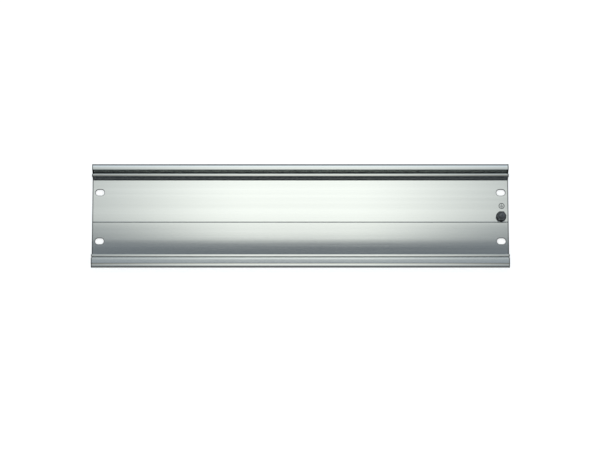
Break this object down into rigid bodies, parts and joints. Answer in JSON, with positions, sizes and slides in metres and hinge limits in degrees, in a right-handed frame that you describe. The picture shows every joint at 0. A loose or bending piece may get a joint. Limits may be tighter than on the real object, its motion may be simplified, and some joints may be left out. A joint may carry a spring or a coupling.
{
  "type": "profile mounting rail",
  "caption": "Wide extruded aluminium mounting rail, 19-inch length, with an upper rim that modules hook on, a lower rim with their screw channel, end slots for wall screws and an earth stud with nut.",
  "frame": {"origin": "centre of the back of the web, on the floor the rail lies on", "axes": "+X along the rail towards the earth stud, +Y across it to the picture's upper rim, +Z out of the front"},
  "size_m": [0.4826, 0.122, 0.015],
  "materials": {
    "rail_aluminium": "satin, drawn lengthwise",
    "stud_steel": "dark zinc plated",
    "washer_steel": "dark zinc plated",
    "spring_steel": "dark spring steel",
    "nut_steel": "dark zinc plated"
  },
  "bodies": {
    "root": {"profile_rail": "rail_aluminium", "earth_stud": "stud_steel", "flat_washer": "washer_steel", "spring_washer": "spring_steel", "hex_nut": "nut_steel"}
  },
  "joints": []
}
